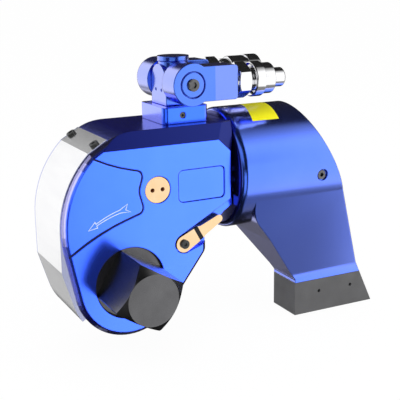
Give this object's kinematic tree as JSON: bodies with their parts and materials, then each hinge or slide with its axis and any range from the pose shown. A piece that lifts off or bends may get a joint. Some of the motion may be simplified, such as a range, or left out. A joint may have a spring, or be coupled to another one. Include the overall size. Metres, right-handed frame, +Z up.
{
  "type": "hydraulic torque wrench",
  "caption": "Square drive hydraulic torque wrench: ratchet housing with a power cylinder, splined slide-on reaction arm with a rubber foot, release lever and a turning twin hose swivel.",
  "frame": {"origin": "on the drive axis, in the plane of the housing's front side face", "axes": "+X along the cylinder towards the reaction foot, +Y from the front side face to the rear, +Z up"},
  "size_m": [0.2828, 0.1242, 0.2214],
  "materials": {
    "blue_metal": "glossy blue metallic coat on machined alloy",
    "bright_steel": "bright ground steel",
    "drive_steel": "dark heat treated alloy steel",
    "black_steel": "black oxide screws",
    "gold_metal": "pale gold plated steel",
    "bronze": "plain bearing bronze",
    "seal_rubber": "black nitrile rubber",
    "foot_rubber": "dark grey moulded rubber",
    "coupler_chrome": "bright plated steel"
  },
  "bodies": {
    "body": {"housing": "blue_metal", "shroud": "bright_steel", "shroud_screws": "black_steel", "pin_plug": "gold_metal", "rod_gland": "bronze", "rod_seal": "seal_rubber", "cylinder_end_cap": "bright_steel", "end_cap_seal": "seal_rubber", "drive_bush_front": "bronze", "drive_bush_rear": "bronze", "swivel_base": "blue_metal", "base_screw": "drive_steel", "swivel_spindle": "blue_metal"},
    "piston": {"piston": "bright_steel", "piston_seal": "seal_rubber", "piston_rod": "bright_steel", "rod_pin": "bright_steel"},
    "drive_plates": {"drive_plate_front": "drive_steel", "drive_plate_rear": "drive_steel", "drive_pawl_pin": "bright_steel"},
    "drive_pawl": {"drive_pawl": "drive_steel"},
    "drive": {"ratchet": "drive_steel", "square_drive": "drive_steel", "drive_retainer": "drive_steel"},
    "release_button": {"release_button": "black_steel"},
    "release": {"reaction_pawl": "drive_steel", "pawl_shaft": "bright_steel", "release_lever": "gold_metal", "lever_band": "seal_rubber", "lever_screw": "black_steel"},
    "swivel": {"swivel_post": "blue_metal", "front_arm_disc": "blue_metal", "rear_arm_disc": "blue_metal", "front_arm_screw": "drive_steel", "rear_arm_screw": "drive_steel"},
    "front_arm": {"front_arm": "blue_metal", "front_adapter": "coupler_chrome", "front_lock_ring": "coupler_chrome", "front_nipple": "coupler_chrome"},
    "rear_arm": {"rear_arm": "blue_metal", "rear_adapter": "coupler_chrome", "rear_coupler_body": "coupler_chrome"},
    "rear_sleeve": {"rear_coupler_sleeve": "coupler_chrome"},
    "reaction_arm": {"reaction_arm": "blue_metal", "foot_pad": "foot_rubber", "pad_pins": "black_steel", "arm_lock_screw": "drive_steel"}
  },
  "joints": [
    {"name": "piston_stroke", "type": "slide", "parent": "body", "child": "piston", "axis": [-1, 0, 0], "range_m": [0, 0.04]},
    {"name": "plates_swing", "type": "hinge", "parent": "body", "child": "drive_plates", "pos_m": [0, 0.035, 0], "axis": [0, -1, 0], "range_deg": [0, 31.85]},
    {"name": "drive_pawl_lift", "type": "hinge", "parent": "drive_plates", "child": "drive_pawl", "pos_m": [0.01585, 0.035, 0.04742], "axis": [0, 1, 0], "range_deg": [0, 8], "stiffness_Nm_per_rad": 0.2},
    {"name": "drive_spin", "type": "hinge", "parent": "body", "child": "drive", "pos_m": [0, 0.035, 0], "axis": [0, -1, 0], "continuous": true},
    {"name": "button_press", "type": "slide", "parent": "drive", "child": "release_button", "axis": [0, -1, 0], "range_m": [0, 0.003], "stiffness_N_per_m": 800},
    {"name": "lever_turn", "type": "hinge", "parent": "body", "child": "release", "pos_m": [0.0438, 0.035, 0.0232], "axis": [0, 1, 0], "range_deg": [0, 12], "stiffness_Nm_per_rad": 0.5},
    {"name": "swivel_yaw", "type": "hinge", "parent": "body", "child": "swivel", "pos_m": [0.054, 0.035, 0.13], "axis": [0, 0, 1], "continuous": true},
    {"name": "front_tilt", "type": "hinge", "parent": "swivel", "child": "front_arm", "pos_m": [0.054, 0.0115, 0.1407], "axis": [0, -1, 0], "range_deg": [0, 180]},
    {"name": "rear_tilt", "type": "hinge", "parent": "swivel", "child": "rear_arm", "pos_m": [0.054, 0.0585, 0.1407], "axis": [0, -1, 0], "range_deg": [0, 180]},
    {"name": "sleeve_pull", "type": "slide", "parent": "rear_arm", "child": "rear_sleeve", "axis": [-1, 0, 0], "range_m": [0, 0.005], "stiffness_N_per_m": 1500},
    {"name": "arm_slide", "type": "slide", "parent": "body", "child": "reaction_arm", "axis": [1, 0, 0], "range_m": [0, 0.04]}
  ],
  "couplings": [
    {"joint": "plates_swing", "follows": "piston_stroke", "rad_per_m": 13.885}
  ]
}
